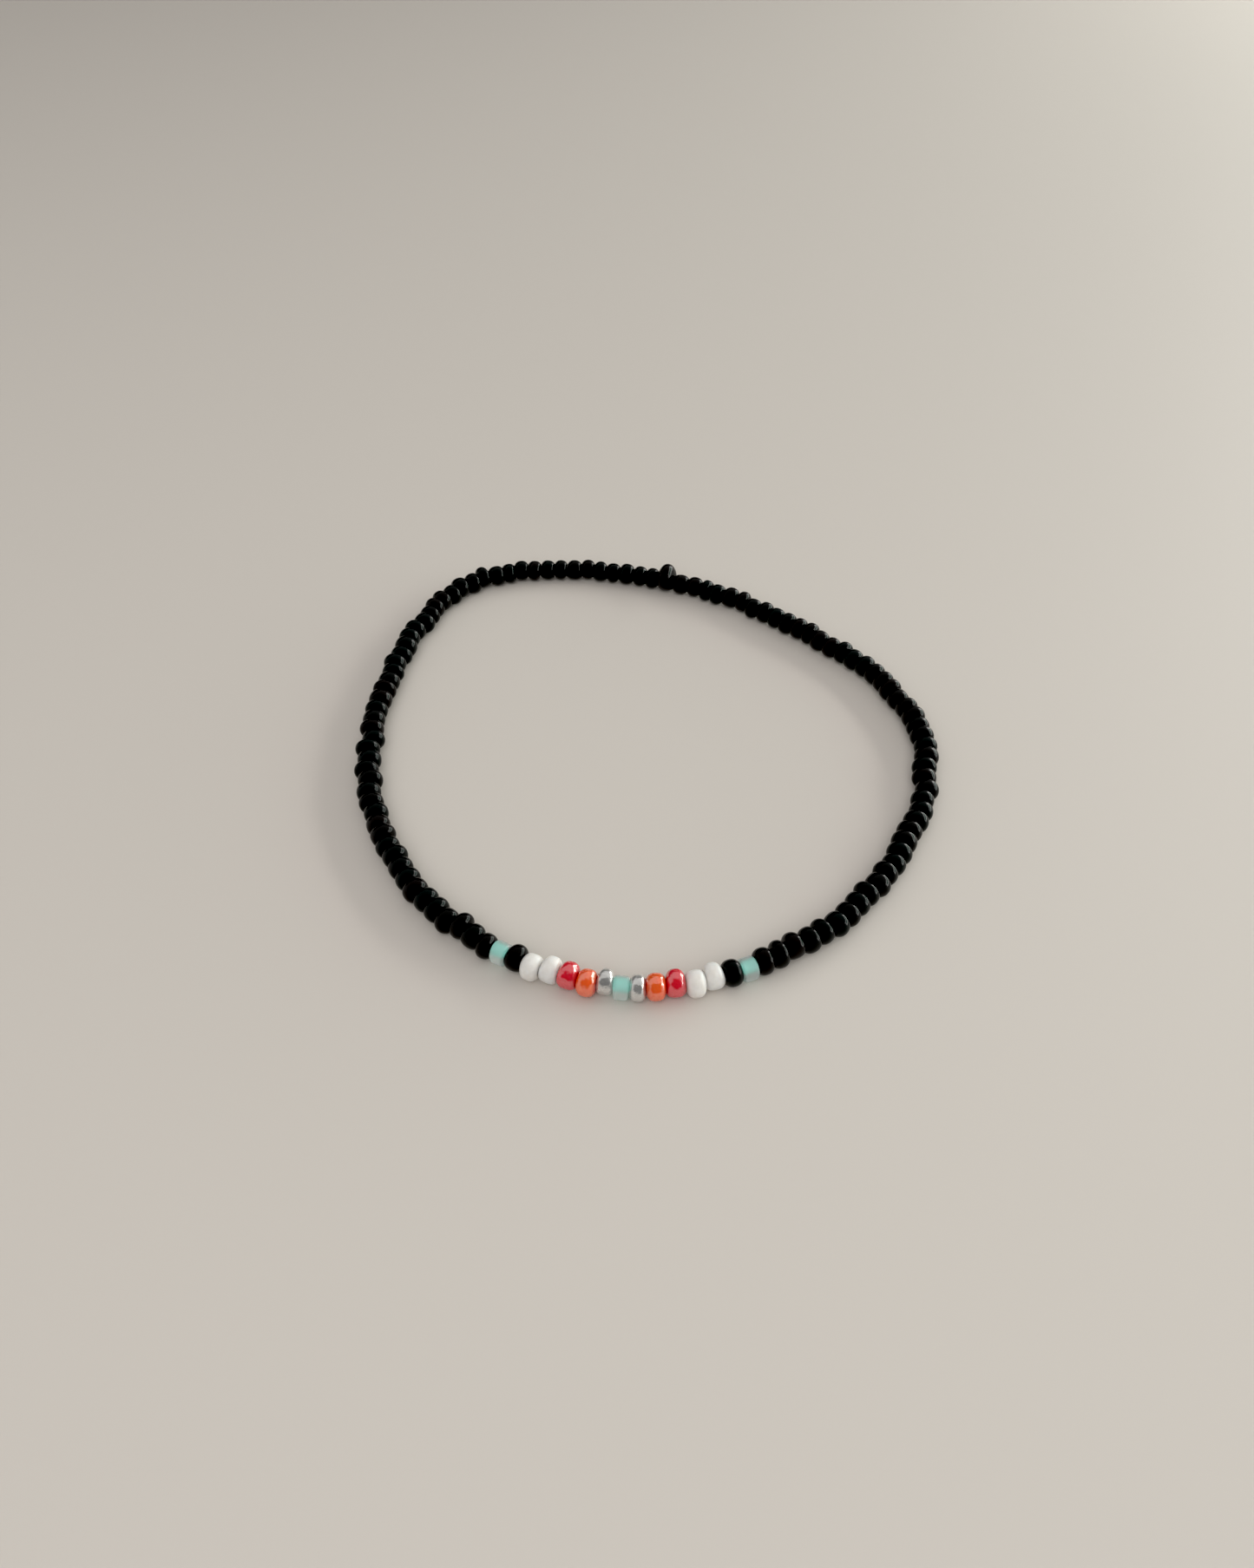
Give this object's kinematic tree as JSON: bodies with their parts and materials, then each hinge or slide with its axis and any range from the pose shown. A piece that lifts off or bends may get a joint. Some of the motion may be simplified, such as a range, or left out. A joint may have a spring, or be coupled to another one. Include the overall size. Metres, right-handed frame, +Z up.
{
  "type": "beaded stretch bracelet",
  "caption": "Stretch bracelet of round black glass seed beads on one elastic loop, with a short row of coloured accent beads at the front and a larger bead over the knot at the back.",
  "frame": {"origin": "centre of the bounding box's bottom, on the surface that the bracelet lies on", "axes": "+Z up out of the surface, -Y towards the coloured accent beads at the front, +Y towards the knot at the back, +X to the right seen from the front"},
  "size_m": [0.0552, 0.0608, 0.003],
  "materials": {
    "aqua_glass": "frosted clear glass lined with mint",
    "silver_glass": "metallic pearl-grey coating on glass",
    "orange_glass": "lustre",
    "red_glass": "lustre",
    "white_glass": "milky opaque, soft sheen",
    "black_glass": "glossy opaque",
    "elastic": "clear stretch cord"
  },
  "bodies": {
    "root": {"aqua_bead_centre": "aqua_glass", "aqua_bead_left": "aqua_glass", "aqua_bead_right": "aqua_glass", "silver_bead_left": "silver_glass", "silver_bead_right": "silver_glass", "orange_bead_left": "orange_glass", "orange_bead_right": "orange_glass", "red_bead_left": "red_glass", "red_bead_right": "red_glass", "white_bead_left_inner": "white_glass", "white_bead_left_outer": "white_glass", "white_bead_right_inner": "white_glass", "white_bead_right_outer": "white_glass", "black_bead_left": "black_glass", "black_bead_right": "black_glass", "black_string_left": "black_glass", "black_string_right": "black_glass", "knot_cover_bead": "black_glass", "elastic_knot": "elastic", "elastic_cord": "elastic"}
  },
  "joints": []
}
